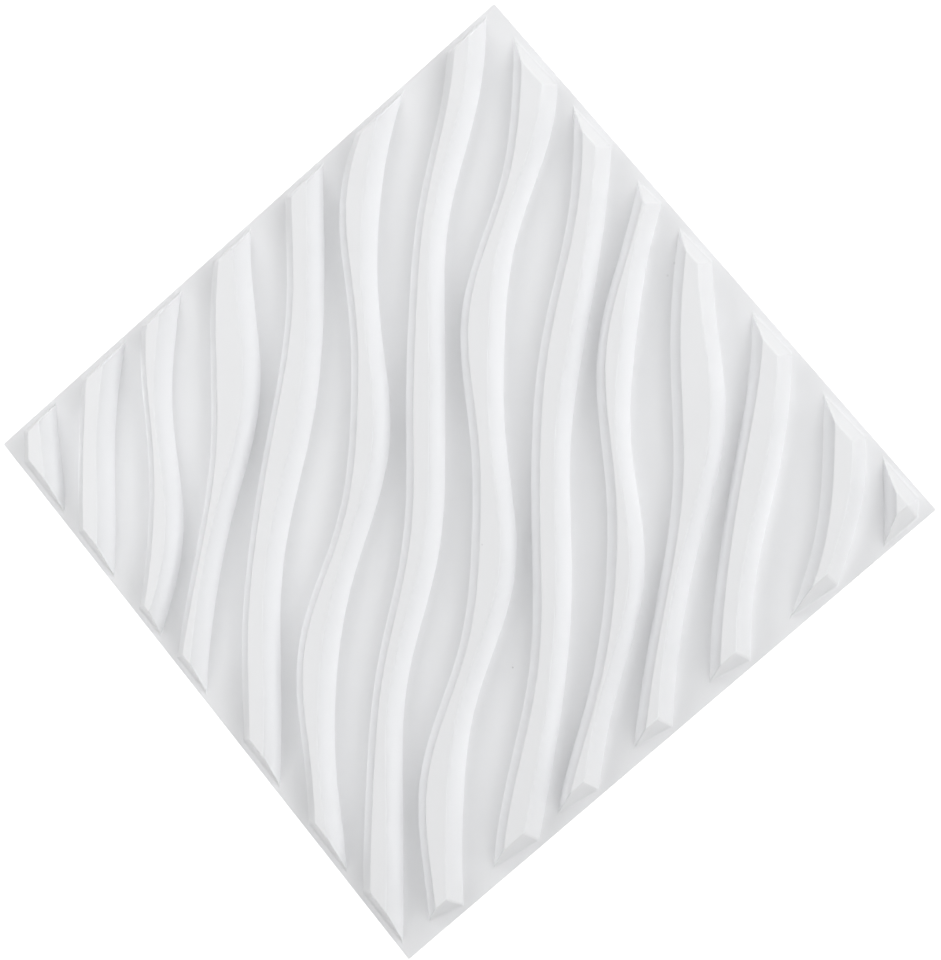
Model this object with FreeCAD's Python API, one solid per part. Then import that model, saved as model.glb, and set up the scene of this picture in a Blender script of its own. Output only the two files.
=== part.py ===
"""Wall panel tile formed from one thin sheet, with wavy ridges that run along its diagonal.

Millimetres, +Z up. The flat back lies on Z = 0, the sides run along X and Y, and the origin is
under the middle of the panel. Ridges are drawn in a frame turned by 45 degrees: "across" counts
from one corner to the opposite one, and "along" follows the ridges.
"""
import FreeCAD, Part
import math
import os
from typing import NamedTuple

# Panel
PANEL_SIDE = 500.0
SHEET = 1.0
RELIEF = 21.0
LIP = 4.4

# Slopes, as level runs over the whole relief
LEFT_RUN = 10.5
RIGHT_RUN = 7.1
END_RUN = 8.2

# Ridge tracks and their waves
PITCH = 50.22
WAVE_LENGTH = 345.0
STATIONS_PER_WAVE = 16
OVERLAP = 4.0


class Wave(NamedTuple):
    """One top edge of a ridge: its place across the track, its sway and a ripple half as long."""

    offset: float
    sway: float
    crest: float
    ripple: float
    ripple_crest: float


class Ridge(NamedTuple):
    """The two edges of a ridge's flat top."""

    left: Wave
    right: Wave


# Ridges of one repeat, counted from the middle of the panel
RIDGES = [
    Ridge(left=Wave(-4.4, 11.8, -62.0, 2.1, 37.0), right=Wave(7.7, 11.9, -57.0, 2.1, -71.0)),
    Ridge(left=Wave(-1.4, 6.9, -119.0, 0.7, 30.0), right=Wave(10.3, 5.8, -127.0, 0.5, -58.0)),
    Ridge(left=Wave(-2.7, 10.5, -76.0, 1.3, 11.0), right=Wave(4.0, 10.6, -71.0, 2.1, -61.0)),
    Ridge(left=Wave(-7.3, 6.2, -12.0, 0.6, 7.0), right=Wave(4.2, 10.2, 41.0, 1.5, 52.0)),
    Ridge(left=Wave(-8.8, 6.0, 95.0, 0.7, -58.0), right=Wave(3.6, 7.1, 85.0, 0.7, 23.0)),
    Ridge(left=Wave(-4.9, 12.1, 24.0, 2.1, -49.0), right=Wave(5.2, 12.0, 21.0, 1.4, 16.0)),
    Ridge(left=Wave(-3.7, 6.0, -31.0, 1.1, -53.0), right=Wave(6.2, 7.8, -15.0, 1.4, -64.0)),
]

# Worked out from the sizes above
TOP = SHEET + RELIEF
HALF_DIAGONAL = PANEL_SIDE / math.sqrt(2.0)
RIDGES_A_SIDE = round(HALF_DIAGONAL / PITCH)
STATION_STEP = WAVE_LENGTH / STATIONS_PER_WAVE
STATIONS_A_SIDE = math.ceil(HALF_DIAGONAL / STATION_STEP) + 1


def slant_thickness(run):
    """Level distance through the sheet where it slopes by run over the relief."""
    return SHEET * math.hypot(1.0, run / RELIEF)


def wave_at(wave, along):
    """Place of an edge across its track at one station along the ridge."""
    turn = 2.0 * math.pi / WAVE_LENGTH
    sway = wave.sway * math.cos(turn * (along - wave.crest))
    ripple = wave.ripple * math.cos(2.0 * turn * (along - wave.ripple_crest))
    return wave.offset + sway + ripple


def wave_edge(wave, across, height):
    """Curve of one edge of a ridge at one height, longer than the panel."""
    stations = [index * STATION_STEP for index in range(-STATIONS_A_SIDE, STATIONS_A_SIDE + 1)]
    curve = Part.BSplineCurve()
    curve.interpolate([FreeCAD.Vector(across + wave_at(wave, along), along, height) for along in stations])
    return curve


def ridge_outline(ridge, track, depth, height):
    """Outline of a ridge at one height, depth inside the outer surface."""
    fall = TOP - height
    left_shift = depth / SHEET * slant_thickness(LEFT_RUN) - fall * LEFT_RUN / RELIEF
    right_shift = fall * RIGHT_RUN / RELIEF - depth / SHEET * slant_thickness(RIGHT_RUN)
    left = wave_edge(ridge.left, track + left_shift, height)
    right = wave_edge(ridge.right, track + right_shift, height)
    start = Part.LineSegment(right.StartPoint, left.StartPoint)
    end = Part.LineSegment(left.EndPoint, right.EndPoint)
    right.reverse()
    return Part.Wire([curve.toShape() for curve in (left, end, right, start)])


def ridge_body(ridge, track, depth, low):
    """Ridge between its foot and top outlines, turned to the panel's diagonal."""
    outlines = [ridge_outline(ridge, track, depth, height) for height in (low, TOP - depth)]
    body = Part.makeLoft(outlines, True, True)
    body.rotate(FreeCAD.Vector(0, 0, 0), FreeCAD.Vector(0, 0, 1), 45.0)
    return body


def square(half_side, height):
    """Square outline round the panel's middle."""
    corners = [(-1, -1), (1, -1), (1, 1), (-1, 1), (-1, -1)]
    return Part.makePolygon([FreeCAD.Vector(x * half_side, y * half_side, height) for x, y in corners])


def end_block(depth, low):
    """Block whose sloped sides end the ridges short of the lip, depth inside the outer surface."""
    slope = END_RUN / RELIEF
    high = TOP + OVERLAP
    half_side = PANEL_SIDE / 2.0 - LIP - depth / SHEET * slant_thickness(END_RUN)
    bottom = square(half_side - (low - SHEET) * slope, low)
    top = square(half_side - (high - SHEET) * slope, high)
    return Part.makeLoft([bottom, top], True, True)


def skin(depth, height):
    """Faces of one side of the sheet: its floor, open under the ridges, and the ridges that stand on it."""
    block = end_block(depth, height)
    outlines = [square(PANEL_SIDE / 2.0, height)]
    faces = []
    for number in range(-RIDGES_A_SIDE, RIDGES_A_SIDE):
        track = (number + 0.5) * PITCH
        body = ridge_body(RIDGES[number % len(RIDGES)], track, depth, height - OVERLAP).common(block)
        foot = min(body.Faces, key=lambda face: face.CenterOfMass.z)
        outlines.append(foot.OuterWire)
        faces.extend(face for face in body.Faces if not face.isSame(foot))
    faces.append(Part.Face(outlines, "Part::FaceMakerBullseye"))
    return faces


def wall_panel():
    """The formed sheet: its front and back skins, joined by the rim round the lip."""
    rim = Part.makeLoft([square(PANEL_SIDE / 2.0, height) for height in (0.0, SHEET)], False, True)
    front = skin(depth=0.0, height=SHEET)
    back = skin(depth=SHEET, height=0.0)
    shell = Part.Shell(front + back + rim.Faces)
    shell.sewShape()
    return Part.Solid(shell)


os.makedirs("parts", exist_ok=True)
panel = wall_panel()
print("solids", len(panel.Solids), "valid", panel.isValid(), "volume", round(panel.Volume))
panel.Solids[0].exportStep("parts/wall_panel.step")
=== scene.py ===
"""Looks of a wall panel tile: one thin white plastic sheet formed into wavy, flat-topped ridges.

The tile lies on its flat back. Its front is drawn from the rule of its ridges: "across" counts from
one corner of the square to the opposite one, and "along" follows the ridges. Lengths are metres, but
those of waves and specks are millimetres.
"""
import cmath
import logging
import math
from dataclasses import dataclass, field, fields, replace
from enum import Enum
from functools import cached_property
from typing import Union

import bpy
from mathutils import Matrix, Vector


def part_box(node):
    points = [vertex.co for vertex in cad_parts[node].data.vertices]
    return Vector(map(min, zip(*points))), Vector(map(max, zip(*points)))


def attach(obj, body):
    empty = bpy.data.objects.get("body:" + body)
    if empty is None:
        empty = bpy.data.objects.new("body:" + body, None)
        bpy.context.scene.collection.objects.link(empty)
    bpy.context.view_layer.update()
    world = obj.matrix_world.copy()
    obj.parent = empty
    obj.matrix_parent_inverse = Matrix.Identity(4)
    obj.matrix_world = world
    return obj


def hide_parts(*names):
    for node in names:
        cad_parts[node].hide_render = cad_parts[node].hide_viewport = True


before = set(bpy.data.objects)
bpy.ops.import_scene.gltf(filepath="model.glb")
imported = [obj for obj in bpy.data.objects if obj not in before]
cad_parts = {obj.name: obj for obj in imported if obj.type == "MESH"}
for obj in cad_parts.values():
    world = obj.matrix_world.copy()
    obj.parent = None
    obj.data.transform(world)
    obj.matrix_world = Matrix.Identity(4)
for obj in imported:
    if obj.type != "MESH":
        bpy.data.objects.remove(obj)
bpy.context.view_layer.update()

MM = 0.001
DIAGONAL = math.sqrt(2.0)
NODE = "wall_panel"
BODY = "root"
IMAGE_WIDTH, IMAGE_HEIGHT = 941, 960
WHITE = (1.0, 1.0, 1.0, 1.0)

# Rows of the sheet's mesh that lie on the lip, at each end of a column
LIP_ROWS = 2
# Rounds of search for the place where a column meets the sloped ends
END_ROUNDS = 8
# A point faces the borders of an axis if its distance on that axis is over this share of its larger one
FACING_SHARE = 0.999
# An edge is marked as a whole if the mean of its two points' marks is over this
WHOLE_EDGE = 0.999
# An edge with fewer faces than this is at the border
INNER_EDGE_FACES = 2.0
# Points closer than this become one
MERGE_DISTANCE = 0.05 * MM
# Edges that bend by more than this are rounded
CREASE_ANGLE = math.radians(15.0)

log = logging.getLogger("wall_panel_tile")

Colour = tuple[float, float, float]
Operand = Union["Field", float]


@dataclass(frozen=True)
class Field:
    """A number in a node tree, with arithmetic that adds Math nodes, so that formulas read as such."""

    tree: bpy.types.NodeTree
    socket: bpy.types.NodeSocket

    def math(self, operation: str, *others: Operand) -> "Field":
        """Feed this number, and the others after it, to a Math node.

        Args:
            operation: The node's operation, by Blender's name.
            others: Further numbers, from the tree or constant.

        Returns:
            The node's result.
        """
        return math_node(self.tree, operation, self, *others)

    def __add__(self, other: Operand) -> "Field":
        """This number plus the other."""
        return self.math("ADD", other)

    def __sub__(self, other: Operand) -> "Field":
        """This number less the other."""
        return self.math("SUBTRACT", other)

    def __rsub__(self, other: float) -> "Field":
        """The constant less this number."""
        return math_node(self.tree, "SUBTRACT", other, self)

    def __mul__(self, other: Operand) -> "Field":
        """This number times the other."""
        return self.math("MULTIPLY", other)

    def __truediv__(self, other: Operand) -> "Field":
        """This number divided by the other."""
        return self.math("DIVIDE", other)

    def mix(self, other: Operand, share: "Field") -> "Field":
        """This number where share is 0, the other where it is 1."""
        return self * (1.0 - share) + share * other


def math_node(tree: bpy.types.NodeTree, operation: str, *operands: Operand) -> Field:
    """Add one Math node.

    Args:
        tree: The tree that gets the node.
        operation: The node's operation, by Blender's name.
        operands: Its numbers, from the tree or constant.

    Returns:
        The node's result.
    """
    node = tree.nodes.new("ShaderNodeMath")
    node.operation = operation
    for socket, operand in zip(node.inputs, operands):
        feed(tree, socket, operand)
    return Field(tree, node.outputs["Value"])


def feed(tree: bpy.types.NodeTree, socket: bpy.types.NodeSocket, value: object) -> None:
    """Give an input its value.

    Args:
        tree: The tree that holds the input.
        socket: The input.
        value: A field or an output socket to link, or a constant to set.
    """
    if isinstance(value, Field):
        tree.links.new(value.socket, socket)
    elif isinstance(value, bpy.types.NodeSocket):
        tree.links.new(value, socket)
    else:
        socket.default_value = value


def add_node(tree: bpy.types.NodeTree, kind: str, settings: dict[str, object] | None = None,
             **inputs: object) -> bpy.types.Node:
    """Add a node with its settings and inputs.

    Args:
        tree: The tree that gets the node.
        kind: The node's type.
        settings: Properties of the node, set before its inputs.
        inputs: Values by input name, with an underscore for each space.

    Returns:
        The node.
    """
    node = tree.nodes.new(kind)
    for name, value in (settings or {}).items():
        setattr(node, name, value)
    for name, value in inputs.items():
        feed(tree, node.inputs[name.replace("_", " ")], value)
    return node


def add_sockets(tree: bpy.types.NodeTree, direction: str, kind: str, *labels: str) -> None:
    """Add inputs or outputs to a node group.

    Args:
        tree: The group.
        direction: INPUT or OUTPUT.
        kind: The sockets' type.
        labels: Their names, in order.
    """
    for label in labels:
        tree.interface.new_socket(label, in_out=direction, socket_type=kind)


def socket_label(name: str) -> str:
    """Name of the socket that takes the value of that name."""
    return name.replace("_", " ").capitalize()


@dataclass(frozen=True)
class Wave:
    """One edge of a ridge, in millimetres: its place across, its sway, and a ripple half as long."""

    offset: float
    sway: float = 0.0
    crest: float = 0.0
    ripple: float = 0.0
    ripple_crest: float = 0.0

    def moved(self, across: float) -> "Wave":
        """The same wave, shifted across."""
        return replace(self, offset=self.offset + across)

    def halfway(self, other: "Wave", wave_length: float) -> "Wave":
        """The line halfway between this edge and another.

        Args:
            other: The other edge.
            wave_length: Length of the sway, which both edges share.

        Returns:
            The line as a wave of its own.
        """
        sway, crest = halfway_swing(self.sway, self.crest, other.sway, other.crest, wave_length)
        ripple, ripple_crest = halfway_swing(self.ripple, self.ripple_crest,
                                             other.ripple, other.ripple_crest, wave_length / 2.0)
        return Wave((self.offset + other.offset) / 2.0, sway, crest, ripple, ripple_crest)


def halfway_swing(size: float, crest: float, other_size: float, other_crest: float,
                  length: float) -> tuple[float, float]:
    """Mean of two swings of one length.

    Args:
        size: How far the first swings.
        crest: Where its crest is.
        other_size: How far the second swings.
        other_crest: Where its crest is.
        length: The length of both.

    Returns:
        How far the mean swings, and where its crest is.
    """
    turn = 2.0 * math.pi / length
    mean = (cmath.rect(size, turn * crest) + cmath.rect(other_size, turn * other_crest)) / 2.0
    return abs(mean), cmath.phase(mean) / turn


@dataclass(frozen=True)
class Ridge:
    """The two edges of a ridge's flat top."""

    left: Wave
    right: Wave


class Level(Enum):
    """Heights that the sheet's front keeps to, as shares of the relief."""

    FLOOR = 0.0
    TOP = 1.0


@dataclass(frozen=True)
class Column:
    """One line of the sheet's mesh, which follows a wave at one level.

    On the lip it may run to the tile's corner, or join the column that is lip_step further right. Its start
    and end may stop short of the lip, by gaps along it. Its rounding is that of the edge that it draws.
    """

    wave: Wave
    level: Level = Level.FLOOR
    to_corner: bool = False
    lip_step: int = 0
    start_gap: float = 0.0
    end_gap: float = 0.0
    rounding: float = 0.0


WAVE_PARTS = tuple(part.name for part in fields(Wave))
COLUMN_PARTS = ("to_corner", "lip_step", "start_gap", "end_gap", "rounding")

# Ridges of one repeat, counted from the middle of the tile
RIDGES = (
    Ridge(left=Wave(-4.4, 11.8, -62.0, 2.1, 37.0), right=Wave(7.7, 11.9, -57.0, 2.1, -71.0)),
    Ridge(left=Wave(-1.4, 6.9, -119.0, 0.7, 30.0), right=Wave(10.3, 5.8, -127.0, 0.5, -58.0)),
    Ridge(left=Wave(-2.7, 10.5, -76.0, 1.3, 11.0), right=Wave(4.0, 10.6, -71.0, 2.1, -61.0)),
    Ridge(left=Wave(-7.3, 6.2, -12.0, 0.6, 7.0), right=Wave(4.2, 10.2, 41.0, 1.5, 52.0)),
    Ridge(left=Wave(-8.8, 6.0, 95.0, 0.7, -58.0), right=Wave(3.6, 7.1, 85.0, 0.7, 23.0)),
    Ridge(left=Wave(-4.9, 12.1, 24.0, 2.1, -49.0), right=Wave(5.2, 12.0, 21.0, 1.4, 16.0)),
    Ridge(left=Wave(-3.7, 6.0, -31.0, 1.1, -53.0), right=Wave(6.2, 7.8, -15.0, 1.4, -64.0)),
)


@dataclass(frozen=True)
class MottleGroup:
    """Shader group for soft, cloudy unevenness, shared by the finishes.

    Noise at or under darkest gives the lowest value, and noise at or over brightest gives the highest.
    """

    name: str = "mottle"
    detail: float = 3.0
    darkest: float = 0.3
    brightest: float = 0.7

    def tree(self) -> bpy.types.NodeTree:
        """The group, built at its first use.

        Returns:
            A shader tree with the inputs Size, Low and High, and the output Value.
        """
        if self.name in bpy.data.node_groups:
            return bpy.data.node_groups[self.name]
        tree = bpy.data.node_groups.new(self.name, "ShaderNodeTree")
        add_sockets(tree, "INPUT", "NodeSocketFloat", "Size", "Low", "High")
        add_sockets(tree, "OUTPUT", "NodeSocketFloat", "Value")
        given = tree.nodes.new("NodeGroupInput")
        place = tree.nodes.new("ShaderNodeTexCoord")
        clouds = add_node(tree, "ShaderNodeTexNoise", Vector=place.outputs["Object"], Detail=self.detail,
                          Scale=math_node(tree, "DIVIDE", 1.0, Field(tree, given.outputs["Size"])))
        spread = add_node(tree, "ShaderNodeMapRange", Value=clouds.outputs["Fac"],
                          From_Min=self.darkest, From_Max=self.brightest,
                          To_Min=given.outputs["Low"], To_Max=given.outputs["High"])
        result = tree.nodes.new("NodeGroupOutput")
        tree.links.new(spread.outputs["Result"], result.inputs["Value"])
        return tree

    def place(self, tree: bpy.types.NodeTree, size: float, low: float, high: float) -> Field:
        """Put the group into a material.

        Args:
            tree: The material's tree.
            size: Width of a cloud.
            low: Value of its darkest places.
            high: Value of its brightest places.

        Returns:
            The uneven value.
        """
        node = add_node(tree, "ShaderNodeGroup", {"node_tree": self.tree()}, Size=size, Low=low, High=high)
        return Field(tree, node.outputs["Value"])


@dataclass(frozen=True)
class Speck:
    """A speck of dust on the tile: its place and radius, in millimetres, and how much it darkens.

    It is evenly dark within the core, a share of its radius.
    """

    x: float
    y: float
    z: float
    radius: float
    darkness: float
    core: float = 0.5

    def shade(self, tree: bpy.types.NodeTree) -> Field:
        """Share of the finish's colour that is left at the speck.

        Args:
            tree: The material's tree.

        Returns:
            1 away from the speck, and less within its radius, with a soft rim.
        """
        radius = self.radius * MM
        place = tree.nodes.new("ShaderNodeTexCoord")
        distance = add_node(tree, "ShaderNodeVectorMath", {"operation": "DISTANCE"})
        tree.links.new(place.outputs["Object"], distance.inputs[0])
        distance.inputs[1].default_value = (self.x * MM, self.y * MM, self.z * MM)
        spread = add_node(tree, "ShaderNodeMapRange", {"interpolation_type": "SMOOTHSTEP"},
                          Value=distance.outputs["Value"], From_Min=radius * self.core, From_Max=radius,
                          To_Min=1.0 - self.darkness, To_Max=1.0)
        return Field(tree, spread.outputs["Result"])


SPECKS = (
    Speck(x=-9.8, y=224.8, z=1.0, radius=1.3, darkness=0.10),
    Speck(x=-6.3, y=215.1, z=1.0, radius=1.1, darkness=0.10),
    Speck(x=58.3, y=-12.6, z=22.0, radius=0.9, darkness=0.10),
    Speck(x=137.6, y=-55.3, z=1.0, radius=0.9, darkness=0.22),
    Speck(x=135.9, y=-53.9, z=1.0, radius=0.7, darkness=0.05),
)


@dataclass(frozen=True)
class PanelPlastic:
    """Matte white plastic of the formed sheet, with faint clouds, a fine skin and a few specks of dust."""

    colour: Colour = (0.917, 0.922, 0.933)
    reflection: float = 0.3
    cloud_size: float = 30 * MM
    cloud_depth: float = 0.012
    roughness: float = 0.42
    roughness_spread: float = 0.06
    skin_size: float = 0.9 * MM
    skin_depth: float = 0.004 * MM
    specks: tuple[Speck, ...] = SPECKS

    def material(self) -> bpy.types.Material:
        """The finish as a material.

        Returns:
            A material that reads Object coordinates.
        """
        material = bpy.data.materials.new("matte_white_plastic")
        material.use_nodes = True
        tree = material.node_tree
        shader = tree.nodes["Principled BSDF"]
        shader.inputs["Specular IOR Level"].default_value = self.reflection
        mottle = MottleGroup()
        shade = mottle.place(tree, self.cloud_size, 1.0 - self.cloud_depth, 1.0)
        for speck in self.specks:
            shade = shade * speck.shade(tree)
        tint = add_node(tree, "ShaderNodeVectorMath", {"operation": "SCALE"}, Scale=shade)
        tint.inputs[0].default_value = self.colour
        tree.links.new(tint.outputs["Vector"], shader.inputs["Base Color"])
        gloss = mottle.place(tree, self.cloud_size, self.roughness - self.roughness_spread / 2.0,
                             self.roughness + self.roughness_spread / 2.0)
        feed(tree, shader.inputs["Roughness"], gloss)
        skin = mottle.place(tree, self.skin_size, 0.0, 1.0)
        bump = add_node(tree, "ShaderNodeBump", Height=skin, Distance=self.skin_depth, Strength=1.0)
        tree.links.new(bump.outputs["Normal"], shader.inputs["Normal"])
        return material


class FrontDrawing:
    """Node tree that draws the sheet's front as a grid, with a column for each point of its guide.

    The first and last rows of a column lie on the lip. What is worked out for a point of the grid is a
    property here, and its nodes are added when it is first read.
    """

    LENGTHS: tuple[str, ...] = ("side", "sheet", "relief", "lip", "end_run", "wave_length", "corner_rounding",
                                "end_foot_rounding", "widest_rounding", "shortest_edge")
    COUNT: str = "rows"

    def __init__(self) -> None:
        """Start the tree with its named inputs."""
        self.tree = bpy.data.node_groups.new("sheet_front", "GeometryNodeTree")
        add_sockets(self.tree, "INPUT", "NodeSocketGeometry", "Geometry")
        add_sockets(self.tree, "INPUT", "NodeSocketFloat", *map(socket_label, self.LENGTHS))
        add_sockets(self.tree, "INPUT", "NodeSocketInt", socket_label(self.COUNT))
        add_sockets(self.tree, "OUTPUT", "NodeSocketGeometry", "Geometry")
        self.given = self.tree.nodes.new("NodeGroupInput")
        self.guide = self.given.outputs["Geometry"]
        self.wave_group = self.build_wave_group()

    @staticmethod
    def build_wave_group() -> bpy.types.NodeTree:
        """Node group for a wave's place across at one place along.

        Returns:
            A tree with the inputs Along and Wave length, and one for each part of the wave.
        """
        tree = bpy.data.node_groups.new("wave_edge", "GeometryNodeTree")
        labels = ("Along", *map(socket_label, WAVE_PARTS), "Wave length")
        add_sockets(tree, "INPUT", "NodeSocketFloat", *labels)
        add_sockets(tree, "OUTPUT", "NodeSocketFloat", "Across")
        given = tree.nodes.new("NodeGroupInput")
        along, offset, sway, crest, ripple, ripple_crest, length = (
            Field(tree, given.outputs[label]) for label in labels)
        turn = math_node(tree, "DIVIDE", 2.0 * math.pi, length)
        swing = sway * ((along - crest) * turn).math("COSINE")
        rippling = ripple * ((along - ripple_crest) * turn * 2.0).math("COSINE")
        result = tree.nodes.new("NodeGroupOutput")
        feed(tree, result.inputs["Across"], offset + swing + rippling)
        return tree

    def size(self, name: str) -> Field:
        """The tree's input for that size."""
        return Field(self.tree, self.given.outputs[socket_label(name)])

    def stored(self, name: str) -> Field:
        """Read an attribute.

        Args:
            name: The attribute's name.

        Returns:
            Its value on the geometry that it is read for.
        """
        node = add_node(self.tree, "GeometryNodeInputNamedAttribute", {"data_type": "FLOAT"}, Name=name)
        return Field(self.tree, node.outputs["Attribute"])

    def of_column(self, name: str, number: Field) -> Field:
        """Read an attribute of the guide.

        Args:
            name: The attribute's name.
            number: The column to read it for.

        Returns:
            The column's value.
        """
        sample = add_node(self.tree, "GeometryNodeSampleIndex", Geometry=self.guide, Index=number,
                          Value=self.stored(name))
        return Field(self.tree, sample.outputs["Value"])

    @cached_property
    def rows(self) -> Field:
        """How many rows the grid has."""
        return self.size(self.COUNT)

    @cached_property
    def index(self) -> Field:
        """The point's number, which counts up its column before the next one."""
        return Field(self.tree, self.tree.nodes.new("GeometryNodeInputIndex").outputs["Index"])

    @cached_property
    def own_column(self) -> Field:
        """The point's column, with half a point added so that rounding can't slip to the one before."""
        return ((self.index + 0.5) / self.rows).math("FLOOR")

    @cached_property
    def row(self) -> Field:
        """The point's row."""
        return self.index - self.own_column * self.rows

    @cached_property
    def ring(self) -> Field:
        """Line of the lip that the point is on, counted from the inner one, or 0 for none."""
        from_end = self.row - self.rows + (LIP_ROWS + 1)
        return (LIP_ROWS - self.row).math("MAXIMUM", from_end).math("MAXIMUM", 0.0)

    @cached_property
    def on_lip(self) -> Field:
        """1 on the lip, else 0."""
        return self.ring.math("MINIMUM", 1.0)

    @cached_property
    def column(self) -> Field:
        """The column that the point follows, which on the lip may be a neighbour of its own."""
        return self.own_column + self.of_column("lip_step", self.own_column) * self.on_lip

    @cached_property
    def waves(self) -> dict[str, Field]:
        """Parts of the wave that the point follows, by name."""
        return {name: self.of_column(name, self.column) for name in WAVE_PARTS}

    @cached_property
    def level(self) -> Field:
        """The point's height, as a share of the relief."""
        return self.of_column("level", self.column)

    @cached_property
    def lip_reach(self) -> Field:
        """Distance from the tile's middle to the lip's inner lines."""
        return self.size("side") / 2.0 - self.size("lip")

    @cached_property
    def reach(self) -> Field:
        """What across and along add up to on the sloped ends, signs aside, at the point's level."""
        return (self.lip_reach - self.level * self.size("end_run")) * DIAGONAL

    @cached_property
    def room(self) -> Field:
        """First guess of how far along the column reaches, which is negative past the tile's corner."""
        return self.reach - self.across_at(0.0).math("ABSOLUTE")

    @cached_property
    def has_length(self) -> Field:
        """1 where the column reaches along at all, else 0."""
        return self.room.math("GREATER_THAN", self.size("shortest_edge"))

    @cached_property
    def start_gap(self) -> Field:
        """How far short of the lip the column starts."""
        return self.of_column("start_gap", self.column)

    @cached_property
    def end_gap(self) -> Field:
        """How far short of the lip the column ends."""
        return self.of_column("end_gap", self.column)

    @cached_property
    def start(self) -> Field:
        """Where along the column starts."""
        return self.end_along(-1.0) + self.start_gap

    @cached_property
    def end(self) -> Field:
        """Where along the column ends."""
        return self.end_along(1.0) - self.end_gap

    @cached_property
    def station(self) -> Field:
        """Where along the point's row is."""
        return (self.row / (self.rows - 1.0) - 0.5) * self.size("side") * DIAGONAL

    @cached_property
    def before(self) -> Field:
        """1 where the row comes before the column's start, or too close to it, else 0."""
        return (self.start + self.size("shortest_edge")).math("GREATER_THAN", self.station)

    @cached_property
    def beyond(self) -> Field:
        """1 where the row comes after the column's end, or too close to it, else 0."""
        return self.station.math("GREATER_THAN", self.end - self.size("shortest_edge"))

    @cached_property
    def along(self) -> Field:
        """The point's place along, before it is pushed out on the lip."""
        return self.station.mix(self.start, self.before).mix(self.end, self.beyond)

    @cached_property
    def across(self) -> Field:
        """The point's place across, before it is pushed out on the lip."""
        at_corner = self.waves["offset"].math("SIGN") * self.reach
        across = at_corner.mix(self.across_at(self.along), self.has_length)
        return across * (1.0 - self.of_column("to_corner", self.column) * self.on_lip)

    def across_at(self, along: Operand) -> Field:
        """Follow the point's wave.

        Args:
            along: Where along.

        Returns:
            The wave's place across.
        """
        node = add_node(self.tree, "GeometryNodeGroup", {"node_tree": self.wave_group}, Along=along,
                        Wave_length=self.size("wave_length"))
        for name, value in self.waves.items():
            feed(self.tree, node.inputs[socket_label(name)], value)
        return Field(self.tree, node.outputs["Across"])

    def end_along(self, sign: float) -> Field:
        """Search for the place where the point's column meets the sloped ends.

        Args:
            sign: -1 for the column's first end, 1 for its last.

        Returns:
            The place along, or 0 where the column has no length.
        """
        along = self.room
        for _ in range(END_ROUNDS):
            along = self.reach - self.across_at(along * sign).math("ABSOLUTE")
        return along * self.has_length * sign

    def to_lip(self, place: Field, furthest: Field) -> Field:
        """Push a point of the lip out to its line, on the axis that faces that border.

        Args:
            place: The point's place on one axis.
            furthest: The larger of its distances from the middle on the two axes.

        Returns:
            Its new place on that axis. The inner line of a column that stops short stays where it was.
        """
        line = self.lip_reach + self.size("lip") * (self.ring - 1.0)
        faces_border = place.math("ABSOLUTE").math("GREATER_THAN", furthest * FACING_SHARE)
        short = (self.start_gap + self.end_gap).math("GREATER_THAN", 0.0)
        stays = short * self.ring.math("LESS_THAN", LIP_ROWS)
        return place.mix(place.math("SIGN") * line, faces_border * self.on_lip * (1.0 - stays))

    def position(self) -> bpy.types.NodeSocket:
        """Turn the point's place to the tile's frame.

        Returns:
            Its position.
        """
        x = (self.across - self.along) / DIAGONAL
        y = (self.across + self.along) / DIAGONAL
        furthest = x.math("ABSOLUTE").math("MAXIMUM", y.math("ABSOLUTE"))
        node = add_node(self.tree, "ShaderNodeCombineXYZ", X=self.to_lip(x, furthest),
                        Y=self.to_lip(y, furthest), Z=self.size("sheet") + self.size("relief") * self.level)
        return node.outputs["Vector"]

    def edge_weight(self) -> Field:
        """Work out how much an edge of the grid is rounded.

        Returns:
            Its rounding as a share of the widest one, or 0 for an edge that stays as it is.
        """
        angle = self.tree.nodes.new("GeometryNodeInputMeshEdgeAngle")
        creased = Field(self.tree, angle.outputs["Unsigned Angle"]).math("GREATER_THAN", CREASE_ANGLE)
        concave = Field(self.tree, angle.outputs["Signed Angle"]).math("LESS_THAN", 0.0)
        edge = self.tree.nodes.new("GeometryNodeInputMeshEdgeVertices")
        ends = [add_node(self.tree, "ShaderNodeSeparateXYZ", Vector=edge.outputs[end])
                for end in ("Position 1", "Position 2")]
        first, second = (Field(self.tree, end.outputs["Z"]) for end in ends)
        rising = (first - second).math("ABSOLUTE").math("GREATER_THAN", self.size("relief") / 2.0)
        at_lip = concave * self.stored("at_end").math("GREATER_THAN", WHOLE_EDGE)
        rounding = self.stored("rounding").mix(self.size("end_foot_rounding"), at_lip)
        return creased * rounding.mix(self.size("corner_rounding"), rising) / self.size("widest_rounding")

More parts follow.
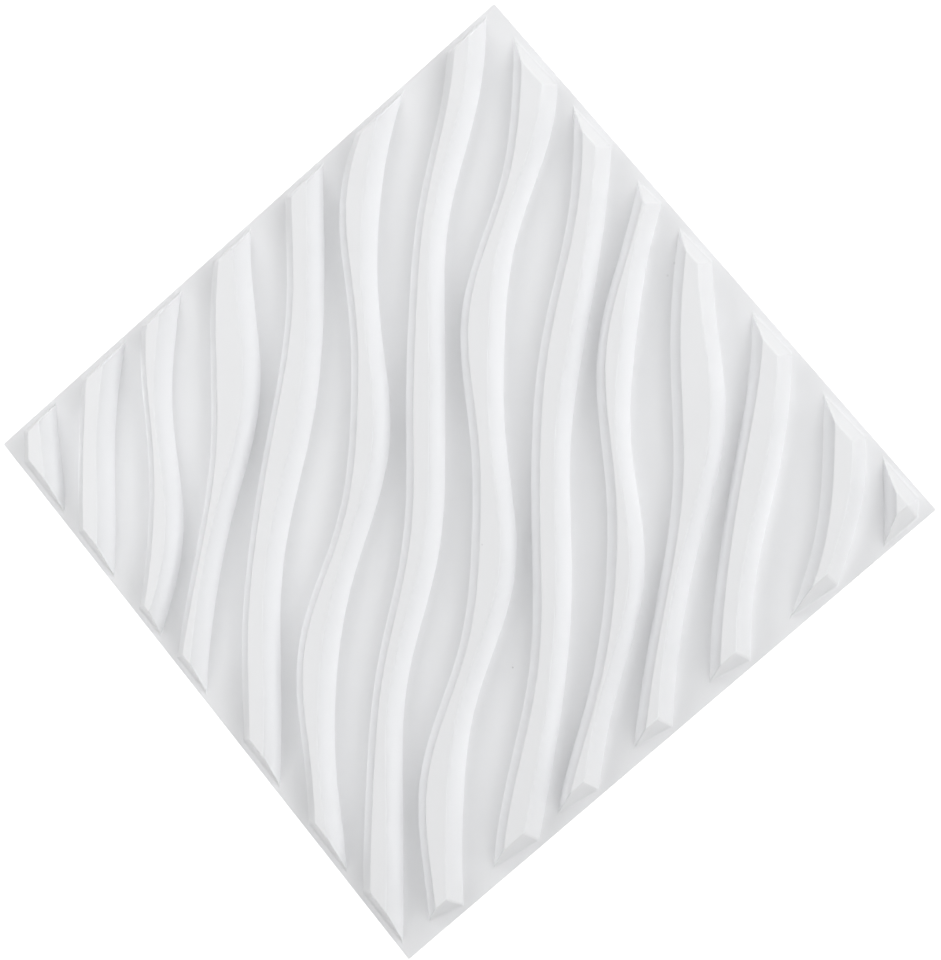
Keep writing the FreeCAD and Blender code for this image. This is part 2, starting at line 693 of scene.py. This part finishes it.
    def build(self, material: bpy.types.Material) -> bpy.types.NodeTree:
        """Lay the grid out, weigh and shade its edges, and dress it.

        Args:
            material: What the sheet is made of.

        Returns:
            The finished tree.
        """
        tree = self.tree
        count = add_node(tree, "GeometryNodeAttributeDomainSize", Geometry=self.guide)
        grid = add_node(tree, "GeometryNodeMeshGrid", Vertices_X=count.outputs["Point Count"],
                        Vertices_Y=self.rows)
        drawn = add_node(tree, "GeometryNodeSetPosition", Geometry=grid.outputs["Mesh"],
                         Position=self.position())
        marks = {"at_end": self.on_lip.math("MAXIMUM", self.before).math("MAXIMUM", self.beyond),
                 "rounding": self.of_column("rounding", self.own_column)}
        for name, value in marks.items():
            drawn = add_node(tree, "GeometryNodeStoreNamedAttribute", {"data_type": "FLOAT"},
                             Geometry=drawn.outputs["Geometry"], Name=name, Value=value)
        merged = add_node(tree, "GeometryNodeMergeByDistance", Geometry=drawn.outputs["Geometry"],
                          Distance=MERGE_DISTANCE)
        weighed = add_node(tree, "GeometryNodeStoreNamedAttribute", {"data_type": "FLOAT", "domain": "EDGE"},
                           Geometry=merged.outputs["Geometry"], Name="bevel_weight_edge",
                           Value=self.edge_weight())
        smooth = add_node(tree, "GeometryNodeSetShadeSmooth", Geometry=weighed.outputs["Geometry"])
        neighbours = tree.nodes.new("GeometryNodeInputMeshEdgeNeighbors")
        at_border = Field(tree, neighbours.outputs["Face Count"]).math("LESS_THAN", INNER_EDGE_FACES)
        crisp = add_node(tree, "GeometryNodeSetShadeSmooth", {"domain": "EDGE"}, Selection=at_border,
                         Geometry=smooth.outputs["Geometry"], Shade_Smooth=False)
        real = add_node(tree, "GeometryNodeRealizeInstances", Geometry=crisp.outputs["Geometry"])
        dressed = add_node(tree, "GeometryNodeSetMaterial", Geometry=real.outputs["Geometry"],
                           Material=material)
        result = tree.nodes.new("NodeGroupOutput")
        tree.links.new(dressed.outputs["Geometry"], result.inputs["Geometry"])
        return tree


@dataclass
class FormedSheet:
    """The tile itself: a sheet with a flat lip, and ridges whose ends slope down to it.

    The runs are those of the ridges' walls and ends over the whole relief. Right of the middle, left feet
    stop short of the lip by the tip gaps, but for the last ridge's, whose right foot steps in from the
    corner instead. Each kind of edge has its own rounding.
    """

    side: float
    height: float
    sheet: float = 1.0 * MM
    lip: float = 4.4 * MM
    left_run: float = 10.5 * MM
    right_run: float = 7.1 * MM
    end_run: float = 8.2 * MM
    pitch: float = 50.22 * MM
    wave_length: float = 345.0 * MM
    start_tip_gap: float = 9.0 * MM
    end_tip_gap: float = 3.0 * MM
    last_foot_step: float = 5.4 * MM
    end_foot_rounding: float = 1.5 * MM
    corner_rounding: float = 1.6 * MM
    left_top_rounding: float = 0.9 * MM
    right_top_rounding: float = 0.8 * MM
    left_foot_rounding: float = 0.7 * MM
    right_foot_rounding: float = 0.4 * MM
    edge_segments: int = 3
    shortest_edge: float = 3.0 * MM
    rows: int = 96
    finish: PanelPlastic = field(default_factory=PanelPlastic)

    @property
    def relief(self) -> float:
        """Height of the ridges above the floor."""
        return self.height - self.sheet

    @property
    def widest_rounding(self) -> float:
        """The largest of the roundings, which the others are shares of."""
        return max(self.corner_rounding, self.end_foot_rounding, self.left_top_rounding,
                   self.right_top_rounding, self.left_foot_rounding, self.right_foot_rounding)

    def columns(self) -> list[Column]:
        """Lines of the mesh, from the left corner to the right one.

        Returns:
            The two corners, and between them each ridge's feet and top edges and each valley's middle.
        """
        # Waves are placed in millimetres
        half_diagonal = self.side / DIAGONAL / MM
        pitch = self.pitch / MM
        a_side = round(half_diagonal / pitch)
        columns = [Column(Wave(-half_diagonal))]
        for number in range(-a_side, a_side):
            ridge = RIDGES[number % len(RIDGES)]
            track = (number + 0.5) * pitch
            left = ridge.left.moved(track)
            right = ridge.right.moved(track)
            left_foot = left.moved(-self.left_run / MM)
            right_foot = right.moved(self.right_run / MM)
            if number > -a_side:
                middle = columns[-1].wave.halfway(left_foot, self.wave_length / MM)
                columns.append(Column(middle, to_corner=number == 0))
            start_gap, end_gap = 0.0, 0.0
            if number == a_side - 1:
                right_foot = right_foot.moved(-self.last_foot_step / MM)
            elif number >= 0:
                start_gap, end_gap = self.start_tip_gap, self.end_tip_gap
            columns += [
                Column(left_foot, start_gap=start_gap, end_gap=end_gap, rounding=self.left_foot_rounding),
                Column(left, Level.TOP, lip_step=-1, rounding=self.left_top_rounding),
                Column(right, Level.TOP, lip_step=1, rounding=self.right_top_rounding),
                Column(right_foot, rounding=self.right_foot_rounding)]
        return columns + [Column(Wave(half_diagonal))]

    def guide(self) -> bpy.types.Object:
        """One point for each column, with the column and its wave as attributes, in metres.

        Returns:
            The object that the drawing reads.
        """
        columns = self.columns()
        mesh = bpy.data.meshes.new("sheet_columns")
        mesh.from_pydata([(0.0, 0.0, 0.0)] * len(columns), [], [])
        values = {name: [getattr(column.wave, name) * MM for column in columns] for name in WAVE_PARTS}
        values |= {name: [float(getattr(column, name)) for column in columns] for name in COLUMN_PARTS}
        values["level"] = [column.level.value for column in columns]
        for name, numbers in values.items():
            mesh.attributes.new(name, "FLOAT", "POINT").data.foreach_set("value", numbers)
        guide = bpy.data.objects.new("formed_sheet", mesh)
        bpy.context.scene.collection.objects.link(guide)
        return guide

    def draw(self, piece: bpy.types.Object, material: bpy.types.Material) -> None:
        """Give the guide the modifier that draws the sheet's front.

        Args:
            piece: The guide.
            material: What the sheet is made of.
        """
        drawing = piece.modifiers.new("drawing", "NODES")
        drawing.node_group = FrontDrawing().build(material)
        sizes = {socket_label(name): getattr(self, name)
                 for name in (*FrontDrawing.LENGTHS, FrontDrawing.COUNT)}
        for item in drawing.node_group.interface.items_tree:
            if item.in_out == "INPUT" and item.name in sizes:
                drawing[item.identifier] = sizes[item.name]

    def thicken(self, piece: bpy.types.Object) -> None:
        """Give the drawn front its thickness, behind it.

        Args:
            piece: The drawn front.
        """
        wall = piece.modifiers.new("wall", "SOLIDIFY")
        wall.thickness = self.sheet
        wall.offset = -1.0
        wall.use_even_offset = True
        wall.use_quality_normals = True

    def round_edges(self, piece: bpy.types.Object) -> None:
        """Round the edges by their weights.

        Args:
            piece: The thickened sheet.
        """
        rounding = piece.modifiers.new("rounding", "BEVEL")
        rounding.limit_method = "WEIGHT"
        rounding.width = self.widest_rounding
        rounding.segments = self.edge_segments
        rounding.use_clamp_overlap = False
        rounding.harden_normals = True

    def build(self) -> bpy.types.Object:
        """Draw the front, thicken it to the sheet and round its edges.

        Returns:
            The finished piece as a plain mesh, kept between the tile's back and its top.
        """
        material = self.finish.material()
        piece = self.guide()
        self.draw(piece, material)
        self.thicken(piece)
        self.round_edges(piece)
        mesh = bpy.data.meshes.new_from_object(piece.evaluated_get(bpy.context.evaluated_depsgraph_get()))
        mesh.name = "formed_sheet"
        mesh.materials.clear()
        mesh.materials.append(material)
        for vertex in mesh.vertices:
            vertex.co.z = min(max(vertex.co.z, 0.0), self.height)
        piece.modifiers.clear()
        piece.data = mesh
        return piece

    def mount(self) -> bpy.types.Object:
        """Build the piece and let it stand for the solid.

        Returns:
            The piece.
        """
        piece = self.build()
        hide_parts(NODE)
        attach(piece, BODY)
        return piece


def diagonal_point(across: float, along: float, height: float) -> Vector:
    """A point given in the ridges' directions.

    Args:
        across: Distance across the ridges.
        along: Distance along them.
        height: Distance above the tile's back.

    Returns:
        The point in the tile's frame.
    """
    return Vector(((across - along) / DIAGONAL, (across + along) / DIAGONAL, height))


@dataclass(frozen=True)
class Lamp:
    """A round, soft lamp aimed at the tile's middle.

    Its azimuth and elevation are degrees, and the azimuth counts from across towards along.
    """

    name: str
    azimuth: float
    elevation: float
    watts: float
    distance: float = 1.3
    size: float = 0.8

    def build(self) -> bpy.types.Object:
        """Add the lamp.

        Returns:
            The lamp's object.
        """
        data = bpy.data.lights.new(self.name, "AREA")
        data.shape = "DISK"
        data.size = self.size
        data.energy = self.watts
        lamp = bpy.data.objects.new(self.name, data)
        turn, lift = math.radians(self.azimuth), math.radians(self.elevation)
        reach = self.distance * math.cos(lift)
        lamp.location = diagonal_point(reach * math.cos(turn), reach * math.sin(turn),
                                       self.distance * math.sin(lift))
        lamp.rotation_mode = "QUATERNION"
        lamp.rotation_quaternion = (-lamp.location).to_track_quat("-Z", "Y")
        lamp.visible_camera = False
        bpy.context.scene.collection.objects.link(lamp)
        return lamp


LAMPS = (
    Lamp("low_right_lamp", azimuth=0.0, elevation=20.0, watts=3.5, distance=2.6, size=1.0),
    Lamp("right_lamp", azimuth=0.0, elevation=36.0, watts=10.7, distance=2.6, size=1.4),
    Lamp("upper_right_lamp", azimuth=45.0, elevation=38.0, watts=6.1),
    Lamp("upper_lamp", azimuth=90.0, elevation=15.0, watts=1.8),
    Lamp("upper_left_lamp", azimuth=135.0, elevation=38.0, watts=4.8),
    Lamp("left_lamp", azimuth=180.0, elevation=42.0, watts=1.04, distance=0.9, size=0.5),
    Lamp("lower_left_lamp", azimuth=225.0, elevation=38.0, watts=0.94, distance=0.8, size=0.4),
    Lamp("lower_lamp", azimuth=270.0, elevation=40.0, watts=1.15),
    Lamp("lower_right_lamp", azimuth=315.0, elevation=38.0, watts=4.2),
)


def seen_rays(tree: bpy.types.NodeTree) -> Field:
    """Where a ray shows the background: 1 for camera, glossy and transmission rays, else 0.

    Args:
        tree: The tree of the floor's material or of the world.

    Returns:
        The mask.
    """
    rays = tree.nodes.new("ShaderNodeLightPath")
    seen = Field(tree, rays.outputs["Is Camera Ray"]) + Field(tree, rays.outputs["Is Glossy Ray"])
    return (seen + Field(tree, rays.outputs["Is Transmission Ray"])).math("MINIMUM", 1.0)


@dataclass(frozen=True)
class FloorPaper:
    """Pale paper under the tile, lifted to white where the tile's shadow doesn't reach."""

    colour: Colour = (0.8, 0.8, 0.8)
    lift: float = 0.8
    roughness: float = 0.9
    cloud_size: float = 60 * MM
    cloud_depth: float = 0.01

    def material(self) -> bpy.types.Material:
        """The finish as a material.

        Returns:
            A material that reads Object coordinates.
        """
        material = bpy.data.materials.new("floor_paper")
        material.use_nodes = True
        tree = material.node_tree
        shader = tree.nodes["Principled BSDF"]
        clouds = MottleGroup().place(tree, self.cloud_size, 1.0 - self.cloud_depth, 1.0)
        tint = add_node(tree, "ShaderNodeVectorMath", {"operation": "SCALE"}, Scale=clouds)
        tint.inputs[0].default_value = self.colour
        tree.links.new(tint.outputs["Vector"], shader.inputs["Base Color"])
        shader.inputs["Roughness"].default_value = self.roughness
        shader.inputs["Emission Color"].default_value = WHITE
        feed(tree, shader.inputs["Emission Strength"], seen_rays(tree) * self.lift)
        return material


@dataclass
class Studio:
    """Floor, lamps, sky and camera round the tile."""

    floor_side: float = 2.0
    floor_drop: float = 0.2 * MM
    paper: FloorPaper = field(default_factory=FloorPaper)
    camera_place: tuple[float, float, float] = (496.8 * MM, 259.5 * MM, 2132.8 * MM)
    camera_aim: tuple[float, float, float] = (11.7 * MM, 8.5 * MM, 1.0 * MM)
    camera_heading: float = math.radians(140.21)
    focal_pixels: float = 3000.0
    sensor: float = 36.0
    lamps: tuple[Lamp, ...] = LAMPS

    def floor(self) -> bpy.types.Object:
        """Pale floor that shows white where the tile's shadow doesn't reach.

        Returns:
            The floor's object.
        """
        half = self.floor_side / 2.0
        mesh = bpy.data.meshes.new("floor")
        corners = [(-half, -half), (half, -half), (half, half), (-half, half)]
        mesh.from_pydata([(x, y, -self.floor_drop) for x, y in corners], [], [(0, 1, 2, 3)])
        mesh.materials.append(self.paper.material())
        floor = bpy.data.objects.new("floor", mesh)
        bpy.context.scene.collection.objects.link(floor)
        return floor

    def sky(self) -> None:
        """White sky where it is seen, which adds no light of its own."""
        world = bpy.data.worlds.new("studio")
        bpy.context.scene.world = world
        world.use_nodes = True
        tree = world.node_tree
        background = tree.nodes["Background"]
        background.inputs["Color"].default_value = WHITE
        feed(tree, background.inputs["Strength"], seen_rays(tree))

    def camera(self) -> bpy.types.Object:
        """Camera where the photograph was taken from.

        Returns:
            The scene's camera.
        """
        data = bpy.data.cameras.new("camera")
        data.sensor_width = self.sensor
        data.lens = self.focal_pixels / max(IMAGE_WIDTH, IMAGE_HEIGHT) * self.sensor
        camera = bpy.data.objects.new("camera", data)
        place = Vector(self.camera_place)
        back = (place - Vector(self.camera_aim)).normalized()
        upward = Vector((math.cos(self.camera_heading), math.sin(self.camera_heading), 0.0))
        right = upward.cross(back).normalized()
        turn = Matrix((right, back.cross(right), back)).transposed()
        camera.matrix_world = Matrix.Translation(place) @ turn.to_4x4()
        bpy.context.scene.collection.objects.link(camera)
        bpy.context.scene.camera = camera
        return camera

    def build(self) -> None:
        """Add everything round the tile."""
        self.floor()
        self.sky()
        for lamp in self.lamps:
            lamp.build()
        self.camera()
        bpy.context.scene.view_settings.view_transform = "Standard"


def main() -> None:
    """Build the tile and its studio."""
    logging.basicConfig(level=logging.INFO, format="%(name)s: %(message)s")
    low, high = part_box(NODE)
    tile = FormedSheet(side=high.x - low.x, height=high.z - low.z).mount()
    log.info("%s: %d vertices, %d faces", tile.name, len(tile.data.vertices), len(tile.data.polygons))
    Studio().build()
    log.info("studio built")


if __name__ == "__main__":
    main()
